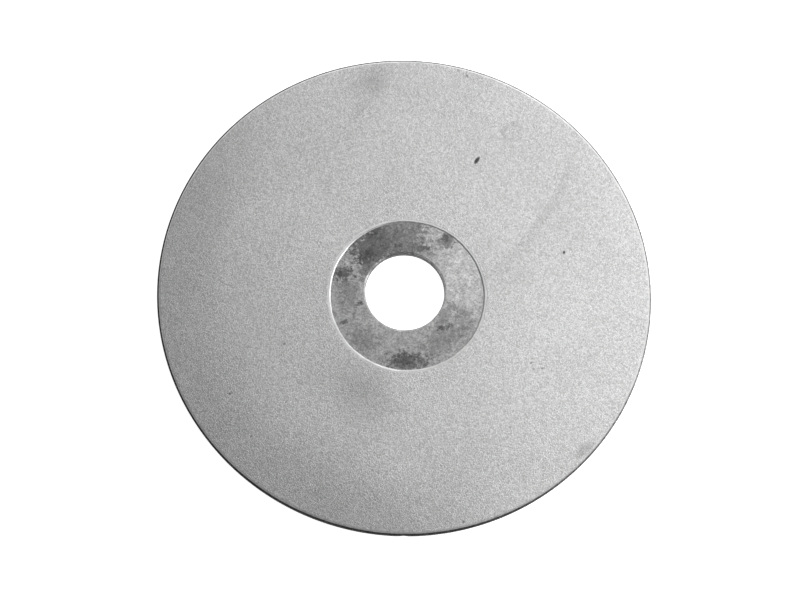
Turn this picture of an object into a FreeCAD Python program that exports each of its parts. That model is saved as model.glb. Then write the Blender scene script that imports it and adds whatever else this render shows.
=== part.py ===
"""A flat diamond grinding wheel: a steel disc with a plated layer of diamond grit on its working face.

Frame: millimetres, +Z along the spin axis and out of the working face, origin on that axis at the back face.

The wheel is three pieces, one inside the next, and none of them moves against another:
  steel_core    the stamped steel blank, with the arbor bore
  nickel_bond   the plated nickel skin, from a lip round the bare hub ring to over the rim's shoulder
  diamond_grit  the layer of diamond crystals that stands out of the nickel
"""

import FreeCAD, Part

import math
import os

import Sketcher

V = FreeCAD.Vector

PARTS_FOLDER = "parts"

# The driving dimensions, in millimetres: alias, value, what it is.
SIZES = [
    ("wheel_diameter", 100.0, "outside of the plated wheel"),
    ("bore_diameter", 16.0, "arbor bore"),
    ("core_thickness", 1.8, "steel blank, face to face"),
    ("bond_thickness", 0.12, "plated nickel skin"),
    ("grit_stand", 0.08, "height of the crystals above the nickel"),
    ("lip_foot_diameter", 31.0, "bare hub ring, where the nickel starts"),
    ("lip_top_diameter", 31.6, "where the nickel reaches its full thickness"),
    ("grit_inner_diameter", 32.2, "first crystals round the hub"),
    ("grit_outer_diameter", 99.0, "last crystals before the rim's shoulder"),
    ("bore_face_chamfer", 0.35, "chamfer of the bore at the working face"),
    ("bore_back_chamfer", 0.3, "chamfer of the bore at the back"),
    ("rim_face_round", 0.25, "rounded shoulder of the blank under the nickel"),
    ("rim_back_round", 0.2, "rounded back edge of the blank"),
]

EDGE_TOLERANCE = 1e-4


# ---------------------------------------------------------------- the document and its sheet


def make_sheet(doc):
    """The sheet of driving dimensions, one row each: name, value, meaning."""
    sheet = doc.addObject("Spreadsheet::Sheet", "Sizes")
    for row, (alias, value, meaning) in enumerate(SIZES, start=1):
        sheet.set(f"A{row}", alias)
        sheet.set(f"B{row}", str(value))
        sheet.set(f"C{row}", meaning)
        sheet.setAlias(f"B{row}", alias)
    doc.recompute()
    return sheet


def make_body(doc, label):
    """An empty body of its own for one sub-part."""
    body = doc.addObject("PartDesign::Body", label)
    body.Label = label
    body.Placement = FreeCAD.Placement()
    return body


def origin_plane(body, role):
    """One of the body's own origin planes, found by its role."""
    return next(f for f in body.Origin.OriginFeatures if getattr(f, "Role", "") == role)


def origin_sketch(body, name, role):
    """A sketch on one of the body's own origin planes."""
    sketch = body.newObject("Sketcher::SketchObject", name)
    sketch.AttachmentSupport = [(origin_plane(body, role), "")]
    sketch.MapMode = "FlatFace"
    return sketch


# ---------------------------------------------------------------- sketch helpers


def add_ring(sketch, outer, inner):
    """Two circles round the origin, whose radii are bound to the expressions outer and inner."""
    for index, (name, formula) in enumerate((("outer_radius", outer), ("inner_radius", inner))):
        start_radius = 10.0 - index
        sketch.addGeometry(Part.Circle(V(0, 0, 0), V(0, 0, 1), start_radius), False)
        sketch.addConstraint(Sketcher.Constraint("Coincident", index, 3, -1, 1))
        bind(sketch, Sketcher.Constraint("Radius", index, start_radius), name, formula)


def bind(sketch, constraint, name, formula):
    """Adds a dimension to a sketch, names it and binds it to a formula of the sheet's cells."""
    number = sketch.addConstraint(constraint)
    sketch.renameConstraint(number, name)
    sketch.setExpression(f"Constraints.{name}", formula)


def circle_edges(shape, radius, height):
    """Names of the shape's full circles of this radius at this height."""
    names = []
    for number, edge in enumerate(shape.Edges, start=1):
        curve = edge.Curve
        if not isinstance(curve, Part.Circle):
            continue
        same_radius = abs(curve.Radius - radius) < EDGE_TOLERANCE
        same_height = abs(curve.Center.z - height) < EDGE_TOLERANCE
        if same_radius and same_height:
            names.append(f"Edge{number}")
    return names


def dress_edge(doc, body, kind, name, circle, size_property, formula):
    """A fillet or chamfer on the circle (radius, height) of the body's solid so far."""
    doc.recompute()
    base = body.Tip
    names = circle_edges(base.Shape, *circle)
    if len(names) != 1:
        raise RuntimeError(f"{name}: {len(names)} edges at {circle}")
    feature = body.newObject(kind, name)
    feature.Base = (base, names)
    feature.setExpression(size_property, formula)
    doc.recompute()
    return feature


# ---------------------------------------------------------------- steel core


def make_steel_core(doc, sheet):
    """The blank: a ring padded to its thickness, then its bore chamfered and its rim rounded."""
    body = make_body(doc, "steel_core")
    outline = origin_sketch(body, "core_outline", "XY_Plane")
    add_ring(outline, "Sizes.wheel_diameter / 2 - Sizes.bond_thickness", "Sizes.bore_diameter / 2")
    pad = body.newObject("PartDesign::Pad", "core_pad")
    pad.Profile = outline
    pad.setExpression("Length", "Sizes.core_thickness")
    outline.Visibility = False

    rim = sheet.wheel_diameter / 2 - sheet.bond_thickness
    bore = sheet.bore_diameter / 2
    top = sheet.core_thickness
    dressings = [
        ("PartDesign::Chamfer", "bore_face_chamfer", (bore, top), "Size"),
        ("PartDesign::Chamfer", "bore_back_chamfer", (bore, 0.0), "Size"),
        ("PartDesign::Fillet", "rim_face_round", (rim, top), "Radius"),
        ("PartDesign::Fillet", "rim_back_round", (rim, 0.0), "Radius"),
    ]
    for kind, alias, circle, size_property in dressings:
        dress_edge(doc, body, kind, f"core_{alias}", circle, size_property, f"Sizes.{alias}")
    return body


# ---------------------------------------------------------------- nickel bond


def bond_points(sheet):
    """The corners of half the skin's section, as (radius, height), from the lip's foot outwards."""
    top = sheet.core_thickness
    skin = sheet.bond_thickness
    rim = sheet.wheel_diameter / 2
    shoulder = sheet.rim_face_round
    centre = rim - skin - shoulder
    return {
        "lip_foot": (sheet.lip_foot_diameter / 2, top),
        "lip_top": (sheet.lip_top_diameter / 2, top + skin),
        "outer_arc_start": (centre, top + skin),
        "outer_arc_end": (rim, top - shoulder),
        "inner_arc_end": (rim - skin, top - shoulder),
        "inner_arc_start": (centre, top),
        "arc_centre": (centre, top - shoulder),
    }


def quarter_arc(centre, radius):
    """A quarter circle from straight right of its centre to straight above it."""
    circle = Part.Circle(V(*centre, 0), V(0, 0, 1), radius)
    return Part.ArcOfCircle(circle, 0.0, math.pi / 2)


def make_nickel_bond(doc, sheet):
    """The skin: its half section, drawn beside the axis, turned once round it."""
    body = make_body(doc, "nickel_bond")
    section = origin_sketch(body, "bond_section", "XZ_Plane")
    point = bond_points(sheet)
    shoulder = sheet.rim_face_round
    skin = sheet.bond_thickness

    def line(start, end):
        return Part.LineSegment(V(*point[start], 0), V(*point[end], 0))

    ramp, face, outer_arc, end_step, inner_arc, underside = range(6)
    section.addGeometry(line("lip_foot", "lip_top"), False)
    section.addGeometry(line("lip_top", "outer_arc_start"), False)
    section.addGeometry(quarter_arc(point["arc_centre"], shoulder + skin), False)
    section.addGeometry(line("outer_arc_end", "inner_arc_end"), False)
    section.addGeometry(quarter_arc(point["arc_centre"], shoulder), False)
    section.addGeometry(line("inner_arc_start", "lip_foot"), False)

    start, end, centre = 1, 2, 3
    joined = [
        (ramp, end, face, start),
        (end_step, end, inner_arc, start),
        (underside, end, ramp, start),
        (outer_arc, centre, inner_arc, centre),
    ]
    for pair in joined:
        section.addConstraint(Sketcher.Constraint("Coincident", *pair))
    tangent = [
        (face, end, outer_arc, end),
        (inner_arc, end, underside, start),
    ]
    for pair in tangent:
        section.addConstraint(Sketcher.Constraint("Tangent", *pair))
    section.addConstraint(Sketcher.Constraint("Coincident", outer_arc, start, end_step, start))
    for straight in (face, end_step, underside):
        section.addConstraint(Sketcher.Constraint("Horizontal", straight))
    section.addConstraint(Sketcher.Constraint("Horizontal", outer_arc, centre, outer_arc, start))

    distance_x, distance_y = "DistanceX", "DistanceY"
    sized = [
        (distance_x, ramp, start, point["lip_foot"][0], "lip_foot_radius", "Sizes.lip_foot_diameter / 2"),
        (distance_x, ramp, end, point["lip_top"][0], "lip_top_radius", "Sizes.lip_top_diameter / 2"),
        (distance_x, outer_arc, start, point["outer_arc_end"][0], "rim_radius", "Sizes.wheel_diameter / 2"),
        (distance_y, ramp, start, point["lip_foot"][1], "core_top", "Sizes.core_thickness"),
    ]
    for kind, item, place, value, name, formula in sized:
        bind(section, Sketcher.Constraint(kind, -1, 1, item, place, value), name, formula)
    outer_round = Sketcher.Constraint("Radius", outer_arc, shoulder + skin)
    bind(section, outer_round, "outer_round", "Sizes.rim_face_round + Sizes.bond_thickness")
    inner_round = Sketcher.Constraint("Radius", inner_arc, shoulder)
    bind(section, inner_round, "inner_round", "Sizes.rim_face_round")

    turn = body.newObject("PartDesign::Revolution", "bond_turn")
    turn.Profile = section
    turn.ReferenceAxis = (section, ["V_Axis"])
    turn.Angle = 360.0
    section.Visibility = False
    doc.recompute()
    return body


# ---------------------------------------------------------------- diamond grit


def make_diamond_grit(doc, sheet):
    """The crystals as one even layer, from the nickel's face up to the crystals' tips."""
    body = make_body(doc, "diamond_grit")
    outline = origin_sketch(body, "grit_outline", "XY_Plane")
    add_ring(outline, "Sizes.grit_outer_diameter / 2", "Sizes.grit_inner_diameter / 2")
    outline.setExpression("AttachmentOffset.Base.z", "Sizes.core_thickness + Sizes.bond_thickness")
    pad = body.newObject("PartDesign::Pad", "grit_pad")
    pad.Profile = outline
    pad.setExpression("Length", "Sizes.grit_stand")
    outline.Visibility = False
    doc.recompute()
    return body


# ---------------------------------------------------------------- checks and output


def ring_volume(outer, inner, height):
    """The volume of a plain ring from its two radii and its height."""
    return math.pi * (outer**2 - inner**2) * height


def expected_volumes(sheet):
    """Rough volumes by hand, which a missed cut or a failed turn would miss by far more than 2%."""
    rim = sheet.wheel_diameter / 2
    skin = sheet.bond_thickness
    lip = (sheet.lip_foot_diameter + sheet.lip_top_diameter) / 4
    grit_outer = sheet.grit_outer_diameter / 2
    grit_inner = sheet.grit_inner_diameter / 2
    return {
        "steel_core": ring_volume(rim - skin, sheet.bore_diameter / 2, sheet.core_thickness),
        "nickel_bond": ring_volume(rim, lip, skin),
        "diamond_grit": ring_volume(grit_outer, grit_inner, sheet.grit_stand),
    }


def check_document(doc):
    """Stops if any object of the document failed to recompute, or a sketch is loose."""
    for item in doc.Objects:
        if "Invalid" in item.State or "Error" in item.State:
            raise RuntimeError(f"{item.Name} is {item.State}")
        if item.TypeId == "Sketcher::SketchObject" and not item.FullyConstrained:
            raise RuntimeError(f"{item.Name} is not fully constrained")


def check_body(body, volume):
    """Stops if a sub-part is empty, broken, in several pieces or far from its volume by hand."""
    shape = body.Shape
    if shape.isNull() or not shape.isValid():
        raise RuntimeError(f"{body.Label} has no valid shape")
    if len(shape.Solids) != 1:
        raise RuntimeError(f"{body.Label} is {len(shape.Solids)} solids")
    if abs(shape.Volume / volume - 1) > 0.02:
        raise RuntimeError(f"{body.Label} is {shape.Volume:.1f} mm3, not about {volume:.1f}")


def write_part(body):
    """Writes one sub-part's shape to a file with its label's name."""
    os.makedirs(PARTS_FOLDER, exist_ok=True)
    body.Shape.exportStep(os.path.join(PARTS_FOLDER, body.Label + ".step"))


def main():
    doc = FreeCAD.newDocument("DiamondWheel")
    sheet = make_sheet(doc)
    bodies = [
        make_steel_core(doc, sheet),
        make_nickel_bond(doc, sheet),
        make_diamond_grit(doc, sheet),
    ]
    doc.recompute()
    check_document(doc)
    volumes = expected_volumes(sheet)
    for body in bodies:
        check_body(body, volumes[body.Label])
    for body in bodies:
        write_part(body)
        box = body.Shape.optimalBoundingBox(False, False)
        print(
            f"{body.Label}: {body.Shape.Volume:.2f} mm3,"
            f" radius {box.XMax:.3f}, z {box.ZMin:.3f} to {box.ZMax:.3f}"
        )


main()
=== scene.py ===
"""The looks of the flat diamond grinding wheel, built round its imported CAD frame. Lengths are in metres."""

import math

import bpy
import numpy as np
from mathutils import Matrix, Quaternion, Vector
from mathutils.geometry import delaunay_2d_cdt


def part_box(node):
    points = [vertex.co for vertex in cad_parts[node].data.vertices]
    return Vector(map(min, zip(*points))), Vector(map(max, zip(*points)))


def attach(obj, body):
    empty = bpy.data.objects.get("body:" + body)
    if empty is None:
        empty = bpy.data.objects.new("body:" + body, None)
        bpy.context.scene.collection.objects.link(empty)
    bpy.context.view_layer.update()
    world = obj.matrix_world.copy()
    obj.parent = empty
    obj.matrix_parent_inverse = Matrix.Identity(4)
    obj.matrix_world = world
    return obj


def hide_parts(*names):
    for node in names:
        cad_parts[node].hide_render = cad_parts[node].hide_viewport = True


MM = 0.001
TURN = 2 * math.pi
SEED = 7

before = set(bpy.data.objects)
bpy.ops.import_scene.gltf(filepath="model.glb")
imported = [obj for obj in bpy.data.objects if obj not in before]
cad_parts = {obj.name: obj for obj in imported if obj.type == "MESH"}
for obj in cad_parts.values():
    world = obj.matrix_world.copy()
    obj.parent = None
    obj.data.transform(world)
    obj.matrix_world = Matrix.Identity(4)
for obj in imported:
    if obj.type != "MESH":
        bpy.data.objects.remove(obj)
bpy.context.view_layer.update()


# ---------------------------------------------------------------- sizes read from the frame


def radii(node):
    """(least, greatest) distance of a CAD node's corners from the spin axis."""
    distances = [math.hypot(v.co.x, v.co.y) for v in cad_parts[node].data.vertices]
    return min(distances), max(distances)


BORE_RADIUS, CORE_RADIUS = radii("steel_core")
LIP_FOOT_RADIUS, WHEEL_RADIUS = radii("nickel_bond")
GRIT_INNER_RADIUS, GRIT_OUTER_RADIUS = radii("diamond_grit")
CORE_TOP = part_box("steel_core")[1].z
BOND_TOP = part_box("nickel_bond")[1].z
GRIT_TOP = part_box("diamond_grit")[1].z
SHOULDER_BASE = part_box("nickel_bond")[0].z

BOND_SKIN = BOND_TOP - CORE_TOP
CORE_SHOULDER = CORE_TOP - SHOULDER_BASE
BOND_SHOULDER = CORE_SHOULDER + BOND_SKIN

# The plating mask sat a little off centre, towards the near side.
MASK_OFFSET = np.array([0.50, -0.82]) * MM
LIP_WIDTH = 0.3 * MM


# ---------------------------------------------------------------- meshes


def mesh_object(name, points, faces):
    """A mesh object from an array of points and an array of faces that all have as many corners."""
    mesh = bpy.data.meshes.new(name)
    count, corners = faces.shape
    mesh.vertices.add(len(points))
    mesh.vertices.foreach_set("co", np.ascontiguousarray(points, np.float32).ravel())
    mesh.loops.add(count * corners)
    mesh.loops.foreach_set("vertex_index", np.ascontiguousarray(faces, np.int32).ravel())
    mesh.polygons.add(count)
    mesh.polygons.foreach_set("loop_start", np.arange(0, count * corners, corners, dtype=np.int32))
    mesh.update(calc_edges=True)
    mesh.validate()
    thing = bpy.data.objects.new(name, mesh)
    bpy.context.scene.collection.objects.link(thing)
    return thing


def shade_smooth(thing, sharp_angle):
    """Smooth shading, with edges that turn more than this many degrees kept sharp."""
    thing.data.polygons.foreach_set("use_smooth", [True] * len(thing.data.polygons))
    thing.data.set_sharp_from_angle(angle=math.radians(sharp_angle))


def shade_flat(thing):
    """Every face shaded as a flat facet."""
    thing.data.polygons.foreach_set("use_smooth", [False] * len(thing.data.polygons))


def lathe(name, section, segments):
    """A closed half section turned once round the Z axis.

    section(angle) gives the section's points as rows of (radius, height, x offset, y offset), anticlockwise
    in the plane with the radius to the right and the height upwards.
    """
    angles = np.arange(segments) * TURN / segments
    rows = np.array([section(angle) for angle in angles])
    count = rows.shape[1]
    x = rows[:, :, 0] * np.cos(angles)[:, None] + rows[:, :, 2]
    y = rows[:, :, 0] * np.sin(angles)[:, None] + rows[:, :, 3]
    points = np.stack([x, y, rows[:, :, 1]], axis=-1).reshape(-1, 3)
    here, there = np.arange(segments), (np.arange(segments) + 1) % segments
    low, high = np.arange(count), (np.arange(count) + 1) % count
    here, there = here[:, None] * count, there[:, None] * count
    faces = np.stack([here + low, there + low, there + high, here + high], axis=-1)
    return mesh_object(name, points, faces.reshape(-1, 4))


def rounded(corners, steps=5, support=0.15 * MM):
    """Rows of (radius, height) along a closed outline whose corners (radius, height, round) are rounded.

    Each arc has one more point a little way before and after it, so that the flats beside it shade flat.
    """
    rows = []
    for index, (radius, height, round_radius) in enumerate(corners):
        corner = np.array([radius, height])
        before = np.array(corners[index - 1][:2]) - corner
        after = np.array(corners[(index + 1) % len(corners)][:2]) - corner
        room = min(np.linalg.norm(before), np.linalg.norm(after))
        before, after = before / np.linalg.norm(before), after / np.linalg.norm(after)
        half = math.acos(np.clip(before @ after, -1, 1)) / 2
        reach = round_radius / math.tan(half)
        middle = (before + after) / np.linalg.norm(before + after)
        centre = corner + middle * round_radius / math.sin(half)
        first, last = corner + before * reach - centre, corner + after * reach - centre
        extra = min(support, 0.3 * (room - reach))
        rows.append(corner + before * (reach + extra))
        for share in np.linspace(0, 1, steps + 1):
            swing = math.pi - 2 * half
            first_part = math.sin((1 - share) * swing) / math.sin(swing)
            last_part = math.sin(share * swing) / math.sin(swing)
            rows.append(centre + first * first_part + last * last_part)
        rows.append(corner + after * (reach + extra))
    return np.array(rows)


class Ragged:
    """A smooth random line round the wheel, in waves from slow to fast, which joins up after a turn."""

    def __init__(self, amplitude, waves, seed):
        random = np.random.default_rng(seed)
        self.counts = np.array(waves)
        self.phases = random.uniform(0, TURN, len(waves))
        sizes = random.uniform(0.5, 1.0, len(waves)) / np.sqrt(self.counts)
        self.sizes = amplitude * sizes / sizes.sum()

    def __call__(self, angle):
        angle = np.asarray(angle, float)
        return (self.sizes * np.cos(angle[..., None] * self.counts + self.phases)).sum(-1)


# ---------------------------------------------------------------- steel core

CORE_SEGMENTS = 720
BORE_FACE_CHAMFER = 0.35 * MM
BORE_BACK_CHAMFER = 0.3 * MM
BACK_ROUND = 0.2 * MM
EDGE_ROUND = 0.06 * MM
deburring = Ragged(0.07 * MM, [2, 3, 5, 8, 13, 21, 34], SEED)

NICK_ANGLE = math.radians(-84)
NICK_HALF_LENGTH = 0.7 * MM
NICK_DEPTH = 0.12 * MM


def nick(angle):
    """How far the small dent in the rim goes in at this angle."""
    along = (angle - NICK_ANGLE + math.pi) % TURN - math.pi
    return NICK_DEPTH * math.exp(-((along * WHEEL_RADIUS / NICK_HALF_LENGTH) ** 2))


def core_section(angle):
    """The blank's half section, whose bore was deburred by hand at the working face."""
    chamfer = BORE_FACE_CHAMFER + float(deburring(angle))
    rim = CORE_RADIUS - nick(angle)
    corners = [
        (BORE_RADIUS, BORE_BACK_CHAMFER, EDGE_ROUND),
        (BORE_RADIUS + BORE_BACK_CHAMFER, 0.0, EDGE_ROUND),
        (rim, 0.0, BACK_ROUND),
        (rim, CORE_TOP, CORE_SHOULDER),
        (BORE_RADIUS + chamfer, CORE_TOP, EDGE_ROUND),
        (BORE_RADIUS, CORE_TOP - chamfer, EDGE_ROUND),
    ]
    outline = rounded(corners)
    return np.hstack([outline, np.zeros_like(outline)])


def make_steel_core():
    """The blank, which shows as the ring round the bore, the bore's wall, the rim and the back."""
    core = lathe("steel_core_blank", core_section, CORE_SEGMENTS)
    shade_smooth(core, 35)
    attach(core, "root")
    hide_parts("steel_core")
    return core


# ---------------------------------------------------------------- nickel bond

BOND_SEGMENTS = 1080
BED = 0.01 * MM
TAPER_LENGTH = 0.3 * MM
SHOULDER_STEPS = 8
LIP_STEPS = 6
lip_waves = Ragged(0.12 * MM, [2, 3, 4, 7, 11, 17, 26, 41, 63, 97], SEED + 1)
lip_width_waves = Ragged(0.12 * MM, [3, 5, 9, 14, 23, 38, 60], SEED + 2)
taper_waves = Ragged(0.12 * MM, [2, 5, 8, 13, 22, 35, 57, 90], SEED + 3)


def lip_foot(angle):
    """The lip's foot, as a distance from the plating mask's centre."""
    return LIP_FOOT_RADIUS + lip_waves(angle)


def lip_top(angle):
    """Where the lip reaches the nickel's full height, as a distance from the mask's centre."""
    return lip_foot(angle) + LIP_WIDTH + lip_width_waves(angle)


def bond_section(angle):
    """The skin's half section: underside, feathered end, rolled shoulder, flat face and ragged lip."""
    foot, top = float(lip_foot(angle)), float(lip_top(angle))
    dent = nick(angle)
    rim, core_rim = WHEEL_RADIUS - dent, CORE_RADIUS - dent - BED
    end = SHOULDER_BASE - TAPER_LENGTH - float(taper_waves(angle))
    offset = tuple(MASK_OFFSET)
    rows = [
        (foot, CORE_TOP - BED, *offset),
        (rim - BOND_SHOULDER, CORE_TOP - BED, 0, 0),
    ]
    for share in np.linspace(1, 0, SHOULDER_STEPS + 1)[1:]:
        turn = share * math.pi / 2
        radius = rim - BOND_SHOULDER + (CORE_SHOULDER - BED) * math.cos(turn)
        rows.append((radius, SHOULDER_BASE + (CORE_SHOULDER - BED) * math.sin(turn), 0, 0))
    rows.append((core_rim, end, 0, 0))
    rows.append((core_rim + 0.45 * BOND_SKIN, end + 0.25 * TAPER_LENGTH, 0, 0))
    rows.append((core_rim + 0.85 * BOND_SKIN, end + 0.6 * TAPER_LENGTH, 0, 0))
    for share in np.linspace(0, 1, SHOULDER_STEPS + 1):
        turn = share * math.pi / 2
        radius = rim - BOND_SHOULDER + BOND_SHOULDER * math.cos(turn)
        rows.append((radius, SHOULDER_BASE + BOND_SHOULDER * math.sin(turn), 0, 0))
    rows.append((rim - BOND_SHOULDER - 0.1 * MM, BOND_TOP, 0, 0))
    rows.append((top + 1.0 * MM, BOND_TOP, *offset))
    for share in np.linspace(1, 0, LIP_STEPS + 1):
        rise = math.sin(share * math.pi / 2) ** 1.3
        rows.append((foot + share * (top - foot), CORE_TOP + rise * BOND_SKIN, *offset))
    return rows


def make_nickel_bond():
    """The plated skin, which shows as the lip round the bare ring and the rolled shoulder of the rim."""
    bond = lathe("nickel_bond_skin", bond_section, BOND_SEGMENTS)
    shade_smooth(bond, 50)
    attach(bond, "root")
    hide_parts("nickel_bond")
    return bond


# ---------------------------------------------------------------- diamond grit

GRAIN_PITCH = 0.33 * MM
GRAIN_JITTER = 0.34
EDGE_PITCH = 0.2 * MM
CRYSTAL_SHARE = 0.74
CRYSTAL_HEIGHTS = (0.45, 1.0)
NICKEL_HEIGHTS = (0.12, 0.3)
VALLEY_HEIGHTS = (0.1, 0.28)
SECTORS = 4
grit_inner_waves = Ragged(0.10 * MM, [3, 7, 12, 19, 31, 50, 81, 130, 190], SEED + 4)
OUTER_WAVES = 0.06 * MM
grit_outer_waves = Ragged(OUTER_WAVES, [3, 8, 15, 31, 60, 120, 250], SEED + 5)


def grit_inner_edge(angle):
    """The first crystals, as a distance from the plating mask's centre."""
    bare_nickel = GRIT_INNER_RADIUS - LIP_FOOT_RADIUS - LIP_WIDTH
    return lip_top(angle) + bare_nickel + grit_inner_waves(angle)


def grit_outer_edge(angle):
    """The last crystals, as a distance from the axis, which the waves never carry past the layer's size."""
    return GRIT_OUTER_RADIUS - OUTER_WAVES + grit_outer_waves(angle)


def polar(points, centre):
    """(angles, distances) of points in the plane round a centre."""
    step = points - centre
    return np.arctan2(step[:, 1], step[:, 0]), np.hypot(step[:, 0], step[:, 1])


def inside_layer(points, margin):
    """Which points lie in the grit layer, this far inside both its edges."""
    inner_angle, inner = polar(points, MASK_OFFSET)
    outer_angle, outer = polar(points, np.zeros(2))
    clear_of_lip = inner > grit_inner_edge(inner_angle) + margin
    clear_of_rim = outer < grit_outer_edge(outer_angle) - margin
    return clear_of_lip & clear_of_rim


def grain_places(random):
    """Where the grains sit, in a loose triangular grid, and which of them outline the layer."""
    row_step = GRAIN_PITCH * math.sqrt(3) / 2
    rows = int(GRIT_OUTER_RADIUS / row_step) + 1
    columns = int(GRIT_OUTER_RADIUS / GRAIN_PITCH) + 1
    row, column = np.mgrid[-rows : rows + 1, -columns : columns + 1]
    x = (column + 0.5 * (row % 2)) * GRAIN_PITCH
    y = row * row_step
    grid = np.stack([x.ravel(), y.ravel()], axis=-1)
    grid += random.uniform(-GRAIN_JITTER, GRAIN_JITTER, grid.shape) * GRAIN_PITCH
    grid = grid[inside_layer(grid, 0.5 * EDGE_PITCH)]
    rings = []
    for centre, edge, radius in (
        (MASK_OFFSET, grit_inner_edge, GRIT_INNER_RADIUS),
        (np.zeros(2), grit_outer_edge, GRIT_OUTER_RADIUS),
    ):
        angles = np.arange(0, TURN - 0.5 * EDGE_PITCH / radius, EDGE_PITCH / radius)
        outwards = np.stack([np.cos(angles), np.sin(angles)], axis=-1)
        rings.append(centre + outwards * edge(angles)[:, None])
    places = np.vstack([grid, *rings])
    first = len(grid)
    outlines = []
    for ring in rings:
        outlines.append(np.arange(first, first + len(ring)))
        first += len(ring)
    return places, outlines


def anticlockwise(triangles, points):
    """The triangles, each turned to run anticlockwise seen from above."""
    a, b, c = (points[triangles[:, corner], :2] for corner in range(3))
    cross = (b[:, 0] - a[:, 0]) * (c[:, 1] - a[:, 1]) - (b[:, 1] - a[:, 1]) * (c[:, 0] - a[:, 0])
    return np.where(cross[:, None] < 0, triangles[:, ::-1], triangles)


def within(points, outlines):
    """Which points lie within an odd number of the closed outlines, each an array of corners in order."""
    x, y = points[:, :1], points[:, 1:]
    crossings = np.zeros(len(points), int)
    for outline in outlines:
        start, end = outline, np.roll(outline, -1, axis=0)
        rise = end[:, 1] - start[:, 1]
        straddles = (start[:, 1] > y) != (end[:, 1] > y)
        share = (y - start[:, 1]) / np.where(rise == 0, 1, rise)
        crossings += (straddles & (x < start[:, 0] + share * (end[:, 0] - start[:, 0]))).sum(axis=1)
    return crossings % 2 == 1


def filled(places, outlines):
    """Triangles, anticlockwise, that fill closed outlines and meet at every place.

    Each outline is an array of places in order. An outline within another is a hole.
    """
    flat = [Vector(place) for place in (places / MM).tolist()]
    edges = np.vstack([np.column_stack([outline, np.roll(outline, -1)]) for outline in outlines])
    points, _, faces, *_ = delaunay_2d_cdt(flat, edges.tolist(), [], 0, 1e-6, False)
    if len(points) != len(places):
        raise RuntimeError("two places meet or an outline crosses itself")
    triangles = anticlockwise(np.array([list(face) for face in faces]), places)
    doubtful = np.isin(triangles, edges).all(axis=1)
    middles = places[triangles[doubtful]].mean(axis=1)
    kept = ~doubtful
    kept[doubtful] = within(middles, [places[outline] for outline in outlines])
    return triangles[kept]


def incentres(triangles, places):
    """The centre of each triangle's inscribed circle, which never hides behind a neighbour's corner."""
    corners = places[triangles]
    opposite = np.roll(corners, -1, axis=1) - np.roll(corners, -2, axis=1)
    weight = np.hypot(opposite[..., 0], opposite[..., 1])
    return (corners * weight[..., None]).sum(axis=1) / weight.sum(axis=1)[:, None]


def half_edges(triangles, count):
    """Each triangle's directed edges (from, to), the triangle of each, and the triangle across it or -1."""
    start = triangles.ravel()
    end = np.roll(triangles, -1, axis=1).ravel()
    owner = np.repeat(np.arange(len(triangles)), 3)
    key, twin_key = start * count + end, end * count + start
    order = np.argsort(key)
    place = np.minimum(np.searchsorted(key[order], twin_key), len(key) - 1)
    found = key[order][place] == twin_key
    return start, end, owner, np.where(found, owner[order][place], -1)


def loop_order(start, end):
    """The corners of the one closed loop that these directed edges make, in order."""
    following = dict(zip(start.tolist(), end.tolist()))
    loop = [start[0]]
    while len(loop) < len(following):
        loop.append(following[loop[-1]])
    return np.array(loop)


def close_below(points, faces, floor):
    """Adds walls and a bottom to an open sheet of triangles, down to this height."""
    start, end, _, across = half_edges(faces, len(points))
    start, end = start[across < 0], end[across < 0]
    outline = loop_order(start, end)
    below = len(points) + np.arange(len(outline))
    after, after_below = np.roll(outline, -1), np.roll(below, -1)
    walls = np.vstack([
        np.column_stack([after, outline, below]),
        np.column_stack([after, below, after_below]),
    ])
    low_points = points[outline].copy()
    low_points[:, 2] = floor
    bottom = filled(low_points[:, :2], [np.arange(len(outline))])[:, ::-1] + len(points)
    return np.vstack([points, low_points]), np.vstack([faces, walls, bottom])


def heights(random, count, bounds):
    """Random heights above the nickel, as shares of the crystals' greatest height."""
    return BOND_TOP + (GRIT_TOP - BOND_TOP) * random.uniform(*bounds, count)


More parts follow.
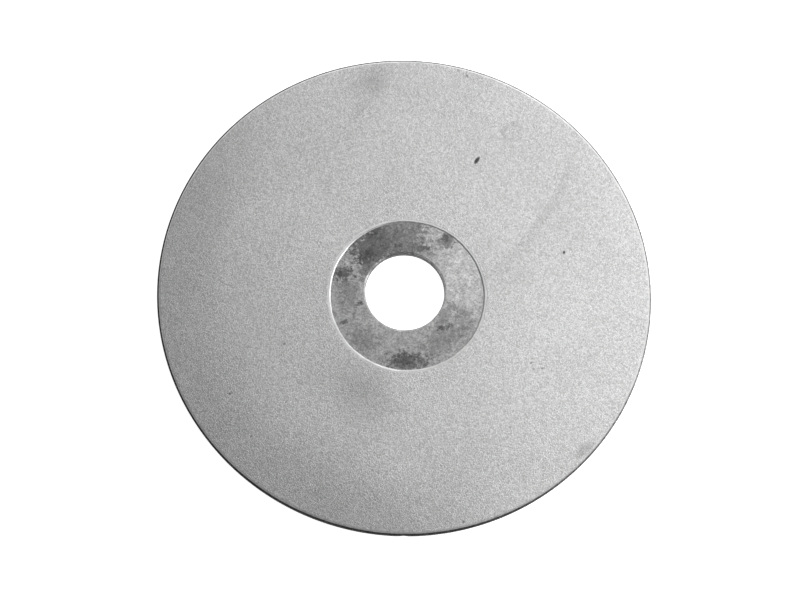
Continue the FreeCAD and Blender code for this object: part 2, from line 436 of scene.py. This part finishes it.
def make_diamond_grit():
    """The single layer of crystals, as faceted points that stand out of the nickel between them.

    Each grain is a fan of facets from its own tip down to the valleys round it. The layer is cut between
    grains into sectors, so that no piece has more triangles than an exported mesh may hold.
    """
    random = np.random.default_rng(SEED)
    places, outlines = grain_places(random)
    triangles = filled(places, outlines)
    count = len(places)
    at_edge = np.isin(np.arange(count), np.concatenate(outlines))
    start, end, owner, across = half_edges(triangles, count)

    is_crystal = (random.uniform(size=count) < CRYSTAL_SHARE) & ~at_edge
    crystal_tips = heights(random, count, CRYSTAL_HEIGHTS)
    nickel_tips = heights(random, count, NICKEL_HEIGHTS)
    tip = np.where(is_crystal, crystal_tips, nickel_tips)
    tip[at_edge] = BOND_TOP - 0.5 * BED
    valley = heights(random, len(triangles), VALLEY_HEIGHTS)
    valley_places = incentres(triangles, places)
    points = np.vstack([np.column_stack([places, tip]), np.column_stack([valley_places, valley])])
    second = np.where(across >= 0, count + across, end)
    faces = np.stack([start, second, count + owner], axis=-1)

    tone = random.uniform(size=count)
    turned = np.arctan2(places[:, 1], places[:, 0]) % TURN
    sector = (turned / (TURN / SECTORS)).astype(int) % SECTORS
    pieces = []
    for number in range(SECTORS):
        mine = sector[start] == number
        used, local = np.unique(faces[mine], return_inverse=True)
        local = local.reshape(-1, 3)
        solid_points, solid_faces = close_below(points[used], local, BOND_TOP - BED)
        piece = mesh_object(f"diamond_grit_quarter_{number + 1}", solid_points, solid_faces)
        spare = len(solid_faces) - len(local)
        grain_values = {"crystal": is_crystal[start[mine]], "grain_tone": tone[start[mine]]}
        for name, values in grain_values.items():
            layer = piece.data.attributes.new(name, "FLOAT", "FACE")
            padded = np.concatenate([values, np.zeros(spare)]).astype(np.float32)
            layer.data.foreach_set("value", padded)
        shade_flat(piece)
        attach(piece, "root")
        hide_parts("diamond_grit")
        pieces.append(piece)
    return pieces


# ---------------------------------------------------------------- node helpers

# An old wipe mark on the face, an arc round this point, in millimetres.
WIPE_CENTRE = (-35.4, 51.7, 0.0)
WIPE_RADIUS = 69.0

# How strongly noise pushes a soft mask up and down to make its edge ragged.
RAGGEDNESS = 4.0

# The direction of the rim's painted highlight, the side towards the softboxes, in degrees, and how many times
# lighter the painted highlight makes that side.
PAINTED_HIGHLIGHT_ANGLE = 45
PAINTED_HIGHLIGHT_GAIN = 4.0

BUMP_DISTANCE = 0.02 * MM


class Nodes:
    """Short calls for one material's node tree. Patterns are laid out in millimetres on the wheel."""

    def __init__(self, name):
        self.material = bpy.data.materials.new(name)
        self.material.use_nodes = True
        self.tree = self.material.node_tree
        self.shader = self.tree.nodes["Principled BSDF"]
        where = self.tree.nodes.new("ShaderNodeTexCoord").outputs["Object"]
        self.place = self.vector("SCALE", where, scale=1 / MM)
        self.flat = self.vector("MULTIPLY", self.place, (1, 1, 0))
        self.radius = self.vector("LENGTH", self.flat)

    def axis(self, name):
        """One coordinate of the place, in millimetres."""
        node = self.tree.nodes.new("ShaderNodeSeparateXYZ")
        self.put(node.inputs["Vector"], self.place)
        return node.outputs[name]

    def put(self, socket, value):
        """Links a socket to another's output, or sets it to a plain value."""
        if isinstance(value, bpy.types.NodeSocket):
            self.tree.links.new(value, socket)
        else:
            socket.default_value = value

    def vector(self, operation, first, second=None, scale=None):
        node = self.tree.nodes.new("ShaderNodeVectorMath")
        node.operation = operation
        self.put(node.inputs[0], first)
        if second is not None:
            self.put(node.inputs[1], second)
        if scale is not None:
            self.put(node.inputs["Scale"], scale)
        return node.outputs["Value" if operation in ("LENGTH", "DOT_PRODUCT") else "Vector"]

    def math(self, operation, first, second=0.0):
        node = self.tree.nodes.new("ShaderNodeMath")
        node.operation = operation
        self.put(node.inputs[0], first)
        self.put(node.inputs[1], second)
        return node.outputs[0]

    def ramp(self, value, low, high, to_low=0.0, to_high=1.0):
        """value carried smoothly from low..high to to_low..to_high, and held beyond them."""
        node = self.tree.nodes.new("ShaderNodeMapRange")
        node.interpolation_type = "SMOOTHSTEP"
        self.put(node.inputs["Value"], value)
        self.put(node.inputs["From Min"], low)
        self.put(node.inputs["From Max"], high)
        self.put(node.inputs["To Min"], to_low)
        self.put(node.inputs["To Max"], to_high)
        return node.outputs["Result"]

    def noise(self, per_mm, detail, roughness, place=None):
        """Noise from 0 to 1 with about this many features to the millimetre."""
        node = self.tree.nodes.new("ShaderNodeTexNoise")
        self.put(node.inputs["Vector"], place or self.place)
        self.put(node.inputs["Scale"], per_mm)
        self.put(node.inputs["Detail"], detail)
        self.put(node.inputs["Roughness"], roughness)
        return node.outputs["Fac"]

    def warped(self, per_mm, amount):
        """The place on the face, pushed about by noise, for patterns with ragged edges."""
        node = self.tree.nodes.new("ShaderNodeTexNoise")
        self.put(node.inputs["Vector"], self.flat)
        self.put(node.inputs["Scale"], per_mm)
        self.put(node.inputs["Detail"], 3.0)
        push = self.vector("SUBTRACT", node.outputs["Color"], (0.5, 0.5, 0.5))
        push = self.vector("SCALE", push, scale=amount)
        return self.vector("ADD", self.flat, push)

    def spot(self, place, radius, angle, length, width, lean, soft=0.5):
        """A soft oval patch, from 0 to 1.

        Its centre is at this radius and angle. Its half sizes and its lean follow. Angles are in degrees.
        """
        node = self.tree.nodes.new("ShaderNodeMapping")
        node.vector_type = "TEXTURE"
        turn = math.radians(angle)
        self.put(node.inputs["Vector"], place)
        node.inputs["Location"].default_value = (radius * math.cos(turn), radius * math.sin(turn), 0)
        node.inputs["Rotation"].default_value = (0, 0, math.radians(lean))
        node.inputs["Scale"].default_value = (length, width, 1)
        return self.ramp(self.vector("LENGTH", node.outputs["Vector"]), 1 - soft, 1 + soft, 1.0, 0.0)

    def loop_mark(self, place, radius, angle, length, width, lean):
        """The outline of an oval, such as a dried drop leaves."""
        outer = self.spot(place, radius, angle, length, width, lean, 0.25)
        inner = self.spot(place, radius, angle, 0.7 * length, 0.7 * width, lean, 0.4)
        return self.math("SUBTRACT", outer, self.math("MULTIPLY", inner, 0.8))

    def wipe_edge(self):
        """The edge of an old wipe, a long shallow arc that is crisp inside and fades outwards."""
        from_centre = self.vector("SUBTRACT", self.flat, WIPE_CENTRE)
        beyond = self.math("SUBTRACT", self.vector("LENGTH", from_centre), WIPE_RADIUS)
        crisp, fading = self.ramp(beyond, -0.4, 0.3), self.ramp(beyond, 0.2, 4.0, 1.0, 0.2)
        return self.math("MULTIPLY", crisp, fading)

    def towards(self, angle):
        """How far the place is from the axis along this angle in degrees, in millimetres."""
        turn = math.radians(angle)
        return self.vector("DOT_PRODUCT", self.flat, (math.cos(turn), math.sin(turn), 0))

    def painted_highlight_side(self):
        """How many times lighter the rim is painted on its side towards the softboxes, a painted highlight.
        """
        return self.ramp(self.towards(PAINTED_HIGHLIGHT_ANGLE), -20.0, 35.0, 1.0, PAINTED_HIGHLIGHT_GAIN)

    def streaks(self, lean, along, across):
        """Noise drawn out into streaks this long and this wide in millimetres, at this lean in degrees."""
        node = self.tree.nodes.new("ShaderNodeMapping")
        node.vector_type = "TEXTURE"
        self.put(node.inputs["Vector"], self.place)
        node.inputs["Rotation"].default_value = (0, 0, math.radians(lean))
        node.inputs["Scale"].default_value = (along, across, 1)
        return self.noise(1.0, 3.0, 0.65, place=node.outputs["Vector"])

    def mixed(self, share, first, second):
        """first where the share is 0, second where it is 1."""
        part = self.math("MULTIPLY", self.math("SUBTRACT", second, first), share)
        return self.math("ADD", first, part)

    def ragged(self, mask, noise, low, high):
        """A soft mask given a ragged edge by noise, and sharpened from low..high to 0..1."""
        push = self.math("MULTIPLY", self.math("SUBTRACT", noise, 0.5), RAGGEDNESS)
        return self.ramp(self.math("ADD", mask, push), low, high)

    def product(self, values):
        """The product of several tones."""
        result = values[0]
        for value in values[1:]:
            result = self.math("MULTIPLY", result, value)
        return result

    def total(self, values):
        """The sum of several masks."""
        result = values[0]
        for value in values[1:]:
            result = self.math("ADD", result, value)
        return result

    def attribute(self, name):
        node = self.tree.nodes.new("ShaderNodeAttribute")
        node.attribute_name = name
        return node.outputs["Fac"]

    def grey(self, value):
        """A grey colour from a number."""
        node = self.tree.nodes.new("ShaderNodeCombineColor")
        for socket in node.inputs[:3]:
            self.put(socket, value)
        return node.outputs["Color"]

    def bump(self, height, strength):
        """A shading normal that this height pattern roughens."""
        node = self.tree.nodes.new("ShaderNodeBump")
        node.inputs["Distance"].default_value = BUMP_DISTANCE
        node.inputs["Strength"].default_value = strength
        self.put(node.inputs["Height"], height)
        return node.outputs["Normal"]

    def finish(self, colour, roughness, normal, metallic):
        """Feeds the shader and returns the material."""
        self.put(self.shader.inputs["Base Color"], colour)
        self.put(self.shader.inputs["Roughness"], roughness)
        self.put(self.shader.inputs["Normal"], normal)
        self.shader.inputs["Metallic"].default_value = metallic
        return self.material


# ---------------------------------------------------------------- marks on the wheel

# Each row is one oval patch: radius, angle, half length, half width, lean and, in some, softness. Lengths
# are in millimetres on the wheel and angles in degrees.

GRIT_DARKER_PATCHES = [
    (45.0, 106.0, 4.4, 2.6, 25, 0.8),
    (46.8, 104.4, 2.1, 2.6, 20, 0.9),
    (39.5, 110.5, 3.0, 1.0, 60, 0.8),
    # These two rows darken the face on the near side of the hub.
    (21.0, -116.0, 7.5, 4.5, -26, 0.9),
    (23.5, -103.0, 5.0, 4.5, -13, 0.9),
]
WIPED_PATCH = (33.0, 37.0, 16.0, 8.0, 55)
DRIED_DROP = (41.0, 63.7, 2.3, 1.7, 50)
RIM_STAIN = (48.3, -36.0, 2.1, 0.9, 45, 0.6)
DARK_CHIPS = [
    (31.8, 68.5, 0.85, 0.38, 62, 0.35),
    (33.5, 21.0, 0.34, 0.24, 90, 0.4),
]
FAINT_SPECKS = [
    (49.1, 83.2, 0.34, 0.18, 125),
    (48.4, 80.8, 0.42, 0.2, 115),
    (29.3, -24.0, 0.3, 0.2, 30),
    (30.4, -25.5, 0.22, 0.22, 0),
    (31.8, -23.7, 0.22, 0.2, 0),
    (35.0, -47.0, 0.26, 0.2, 20),
    (48.6, -70.0, 0.3, 0.2, 75),
    (41.0, -142.0, 0.3, 0.22, 0),
    (43.0, -129.0, 0.25, 0.2, 0),
    (26.7, -149.0, 0.3, 0.25, 0),
]

RING_SOFTNESS = 0.9
RING_DULL = [
    (11.6, 131, 4.6, 3.4, 40),
    (13.6, -20, 3.4, 1.7, 121),
    (13.2, -124, 3.0, 2.2, -34),
    (9.4, -26, 2.4, 1.0, 64),
    (9.6, 70, 1.8, 1.1, 160),
    (11.6, -172, 4.0, 2.2, -82),
    (12.6, -48, 4.2, 2.6, 42),
]
RING_DARK = [
    (12.0, 132, 4.8, 3.6, 42),
    (12.2, 97, 4.6, 3.8, 7),
    (13.8, 58, 2.2, 1.5, 58),
    (14.6, -82, 4.4, 1.9, 8),
    (13.3, 171, 2.0, 1.4, 171),
    (9.0, 100, 4.4, 0.8, 10),
    (9.0, 150, 3.4, 0.9, 60),
    (13.8, -146, 0.9, 0.5, -146),
    (10.8, -38, 1.5, 0.5, 20),
    (9.4, -158, 0.7, 0.5, 20),
]
RING_DEEP = [
    (14.2, 123, 1.6, 0.8, 33),
    (10.6, 144, 1.9, 1.3, 54),
    (13.7, 173, 1.1, 0.9, 83),
    (10.0, 103, 1.0, 0.4, 13),
    (14.3, -84, 2.4, 1.1, 6),
    (14.2, 60, 1.0, 0.7, 60),
]
RING_BRIGHT = (12.0, 18, 7.4, 4.4, 108)

# Scratches on the bare ring, as rows of lean, length and width.
RING_SCRATCHES = [(35, 2.4, 0.16), (78, 1.8, 0.14), (-20, 1.5, 0.18)]

# The grinder's lines on the back.
GRINDING_LEAN = 12

# Where one surface of the steel or the nickel gives way to the next, as distances from the axis.
BORE_WALL = (8.08, 8.02)
STEEL_RIM = (49.5, 49.8)
NICKEL_SHOULDER = (49.58, 49.72)

# The heights between which the steel's back gives way to its face.
BACK_TO_FACE = (0.5, 1.3)


# ---------------------------------------------------------------- materials


def grit_material():
    """Diamond crystals in nickel: fine salt and pepper, with the wheel's own specks, smudges and stains, and
    painted shade that darkens the face towards its outer edge on the side away from the softboxes.
    """
    n = Nodes("diamond_in_nickel")
    crystal, tone = n.attribute("crystal"), n.attribute("grain_tone")
    grain = n.ramp(tone, 0.0, 1.0, 0.9, 1.1)
    fine = n.ramp(n.noise(5.0, 3.0, 0.7), 0.35, 0.65, 0.86, 1.14)
    broad = n.ramp(n.noise(0.05, 3.0, 0.5), 0.3, 0.7, 0.97, 1.03)

    smeared, chipped = n.warped(0.8, 0.8), n.warped(3.0, 0.25)
    wiped = n.math("MULTIPLY", n.wipe_edge(), n.spot(n.flat, *WIPED_PATCH))
    darker_patches = [n.spot(smeared, *row) for row in GRIT_DARKER_PATCHES] + [wiped]
    drop = n.math("MULTIPLY", n.loop_mark(smeared, *DRIED_DROP), 0.65)
    stains = [drop, n.spot(smeared, *RIM_STAIN)]
    chips = [n.spot(chipped, *row) for row in DARK_CHIPS]
    specks = [n.spot(chipped, *row) for row in FAINT_SPECKS]
    tones = [grain, fine, broad]
    for masks, depth in ((darker_patches, 0.1), (stains, 0.25), (chips, 0.85), (specks, 0.45)):
        tones.append(n.math("SUBTRACT", 1.0, n.math("MULTIPLY", n.total(masks), depth)))
    # Painted shade: the face is painted up to about a fifth darker towards its outer edge on the side away
    # from the softboxes.
    outer, painted_shade_side = n.ramp(n.radius, 28.0, 50.0), n.ramp(n.towards(214), -8.0, 32.0)
    tones.append(n.ramp(n.math("MULTIPLY", outer, painted_shade_side), 0.0, 1.0, 1.0, 0.81))

    base = n.ramp(crystal, 0.0, 1.0, 0.56, 0.62)
    colour = n.grey(n.math("MULTIPLY", base, n.product(tones)))
    roughness = n.ramp(crystal, 0.0, 1.0, 0.7, 0.66)
    normal = n.bump(n.noise(9.0, 2.0, 0.6), 0.5)
    return n.finish(colour, roughness, normal, 0.7)


def nickel_material():
    """Plated nickel: satin and faintly nodular; where it wraps over the rim's shoulder it is matt and painted
    nearly black as painted shade, with a painted highlight on the side towards the softboxes.
    """
    n = Nodes("plated_nickel")
    broad = n.ramp(n.noise(0.3, 3.0, 0.6), 0.3, 0.7, 0.88, 1.08)
    fine = n.ramp(n.noise(4.0, 3.0, 0.6), 0.3, 0.7, 0.9, 1.08)
    face = n.math("MULTIPLY", n.math("MULTIPLY", broad, fine), 0.6)
    # Painted shade: the shoulder's nickel is painted nearly black, and the painted highlight lightens it on
    # the side towards the softboxes.
    painted_dark_shade = n.ramp(n.noise(1.5, 4.0, 0.65), 0.3, 0.7, 0.03, 0.09)
    shoulder = n.math("MULTIPLY", painted_dark_shade, n.painted_highlight_side())
    on_shoulder = n.ramp(n.radius, *NICKEL_SHOULDER)
    colour = n.grey(n.mixed(on_shoulder, face, shoulder))
    satin = n.ramp(n.noise(2.0, 3.0, 0.6), 0.3, 0.7, 0.3, 0.45)
    roughness = n.mixed(on_shoulder, satin, 0.8)
    normal = n.bump(n.noise(6.0, 3.0, 0.6), 0.5)
    return n.finish(colour, roughness, normal, 0.9)


def ring_tone(n):
    """The bare ring round the bore: a worn, stained face with ragged dark patches and fine scratches."""
    place = n.warped(0.5, 1.6)
    islands = n.noise(1.1, 8.0, 0.78)
    bright = n.spot(place, *RING_BRIGHT, RING_SOFTNESS)
    tones = [n.ramp(bright, 0.0, 1.0, 0.38, 0.46)]
    for rows, depth in ((RING_DULL, 0.28), (RING_DARK, 0.53), (RING_DEEP, 0.32)):
        masks = [n.spot(place, *row, RING_SOFTNESS) for row in rows]
        patches = n.ragged(n.total(masks), islands, 0.2, 0.85)
        tones.append(n.ramp(patches, 0.0, 1.0, 1.0, 1.0 - depth))
    mottle = n.ramp(n.noise(0.8, 5.0, 0.7), 0.35, 0.65, 0.84, 1.16)
    grain = n.ramp(n.noise(2.6, 5.0, 0.85), 0.4, 0.6, 0.74, 1.24)
    flecks = n.ramp(n.noise(1.9, 3.0, 0.7), 0.62, 0.7, 1.0, 0.72)
    tones += [mottle, grain, flecks]
    for lean, along, across in RING_SCRATCHES:
        tones.append(n.ramp(n.streaks(lean, along, across), 0.57, 0.7, 1.0, 1.25))
    return n.product(tones)


def back_tone(n):
    """The back: plain ground steel, with the grinder's lines all one way and a few faint stains."""
    lines = n.ramp(n.streaks(GRINDING_LEAN, 18.0, 0.12), 0.3, 0.7, 0.86, 1.12)
    coarse = n.ramp(n.streaks(GRINDING_LEAN, 40.0, 0.9), 0.3, 0.7, 0.92, 1.06)
    stains = n.ramp(n.noise(0.12, 6.0, 0.65), 0.5, 0.68, 1.0, 0.72)
    return n.product([lines, coarse, stains, 0.42])


def rim_tone(n):
    """The rim: matt, painted nearly black as painted shade, faintly banded by the lathe, and painted lighter
    on the side towards the softboxes as a painted highlight.
    """
    # Painted shade: the rim's steel is painted nearly black all round.
    painted_dark_shade = n.ramp(n.noise(1.2, 5.0, 0.65), 0.3, 0.7, 0.055, 0.085)
    round_the_rim = n.vector("MULTIPLY", n.place, (0.2, 0.2, 12))
    turned = n.ramp(n.noise(1.0, 3.0, 0.6, place=round_the_rim), 0.3, 0.7, 0.88, 1.14)
    return n.product([painted_dark_shade, turned, n.painted_highlight_side()])


def steel_material():
    """Bare steel: the stained ring, the bore's turned wall painted nearly black as painted shade, the rim
    with its painted shade and painted highlight, and the ground back.
    """
    n = Nodes("bare_steel")
    tone = n.mixed(n.ramp(n.axis("Z"), *BACK_TO_FACE), back_tone(n), ring_tone(n))
    # Painted shade: the bore's wall is painted nearly black, the shade inside the hole.
    wall = n.ramp(n.noise(1.6, 5.0, 0.7), 0.3, 0.7, 0.02, 0.1)
    tone = n.mixed(n.ramp(n.radius, *BORE_WALL), tone, wall)
    on_rim = n.ramp(n.radius, *STEEL_RIM)
    # The rim takes its painted shade and painted highlight here.
    tone = n.mixed(on_rim, tone, rim_tone(n))
    colour = n.grey(n.math("MAXIMUM", tone, 0.02))
    worn = n.ramp(n.noise(1.5, 4.0, 0.6), 0.3, 0.7, 0.38, 0.58)
    roughness = n.mixed(on_rim, worn, 0.85)
    normal = n.bump(n.noise(5.0, 4.0, 0.65), 0.4)
    return n.finish(colour, roughness, normal, 0.9)


def floor_material():
    """A plain, pale, matt studio surface, which gives off enough light of its own to look almost white."""
    n = Nodes("pale_floor")
    n.shader.inputs["Base Color"].default_value = (0.9, 0.9, 0.9, 1)
    n.shader.inputs["Roughness"].default_value = 0.8
    n.shader.inputs["Emission Color"].default_value = (1, 1, 1, 1)
    n.shader.inputs["Emission Strength"].default_value = FLOOR_GLOW
    return n.material


# ---------------------------------------------------------------- studio

# The floor's section, as (distance from the axis, height): from a pinhole at the middle out to the wall.
SWEEP = [(0.00001, 0.0), (2.3, 0.0), (2.7, 0.04), (2.9, 0.14), (3.0, 0.3), (3.0, 0.45)]
SWEEP_SIDES = 96
FLOOR_GLOW = 0.95

# Each softbox: name, compass and height angles in degrees, and power in watts. All face the wheel.
SOFTBOXES = [
    ("side_softbox", 0, 30, 0.318),
    ("back_softbox", 90, 50, 0.088),
    ("corner_softbox", 60, 50, 0.074),
]
SOFTBOX_DISTANCE = 0.18
SOFTBOX_SIZE = 0.15
WORLD_STRENGTH = 0.15

CAMERA_TILT = math.radians(16.08)
CAMERA_ROLL = math.radians(6.52)
CAMERA_DISTANCE = 0.5
CAMERA_AIM = Vector((-0.787, -1.971, 2.0)) * MM
LENS = 111.45
SENSOR_WIDTH = 36
NEAREST_VISIBLE = 0.01


def make_floor():
    """The floor under the wheel, which sweeps up into a low pale wall a long way off."""
    angles = np.arange(SWEEP_SIDES) * TURN / SWEEP_SIDES
    across, along = np.cos(angles), np.sin(angles)
    level = np.ones(SWEEP_SIDES)
    points = np.vstack([np.column_stack([r * across, r * along, z * level]) for r, z in SWEEP])
    here, there = np.arange(SWEEP_SIDES), (np.arange(SWEEP_SIDES) + 1) % SWEEP_SIDES
    faces = []
    for ring in range(len(SWEEP) - 1):
        low, high = ring * SWEEP_SIDES, (ring + 1) * SWEEP_SIDES
        faces.append(np.column_stack([low + here, high + here, high + there, low + there]))
    floor = mesh_object("studio_floor", points, np.vstack(faces))
    floor.data.materials.append(floor_material())


def make_softbox(name, compass, height, power):
    """A square softbox that faces the wheel."""
    light = bpy.data.lights.new(name, "AREA")
    light.shape = "SQUARE"
    light.size = SOFTBOX_SIZE
    light.energy = power
    box = bpy.data.objects.new(name, light)
    bpy.context.scene.collection.objects.link(box)
    across, up = math.radians(compass), math.radians(height)
    level = math.cos(up)
    towards = Vector((level * math.cos(across), level * math.sin(across), math.sin(up)))
    box.location = towards * SOFTBOX_DISTANCE
    box.rotation_euler = towards.to_track_quat("Z", "Y").to_euler()


def make_world():
    """Pale, even light from all round."""
    world = bpy.data.worlds.new("studio")
    world.use_nodes = True
    background = world.node_tree.nodes["Background"]
    background.inputs["Color"].default_value = (1, 1, 1, 1)
    background.inputs["Strength"].default_value = WORLD_STRENGTH
    bpy.context.scene.world = world


def make_camera():
    """The camera, above the near side of the wheel and turned a little about its own line of sight."""
    lens = bpy.data.cameras.new("camera")
    lens.lens = LENS
    lens.sensor_width = SENSOR_WIDTH
    lens.clip_start = NEAREST_VISIBLE
    camera = bpy.data.objects.new("camera", lens)
    bpy.context.scene.collection.objects.link(camera)
    back = Vector((0, -math.sin(CAMERA_TILT), math.cos(CAMERA_TILT)))
    camera.location = CAMERA_AIM + back * CAMERA_DISTANCE
    level = back.to_track_quat("Z", "Y")
    camera.rotation_euler = (level @ Quaternion((0, 0, 1), CAMERA_ROLL)).to_euler()
    bpy.context.scene.camera = camera


# ---------------------------------------------------------------- the scene

make_steel_core().data.materials.append(steel_material())
make_nickel_bond().data.materials.append(nickel_material())
grit_look = grit_material()
for quarter in make_diamond_grit():
    quarter.data.materials.append(grit_look)

make_floor()
for softbox in SOFTBOXES:
    make_softbox(*softbox)
make_world()
make_camera()
bpy.context.scene.view_settings.view_transform = "Standard"
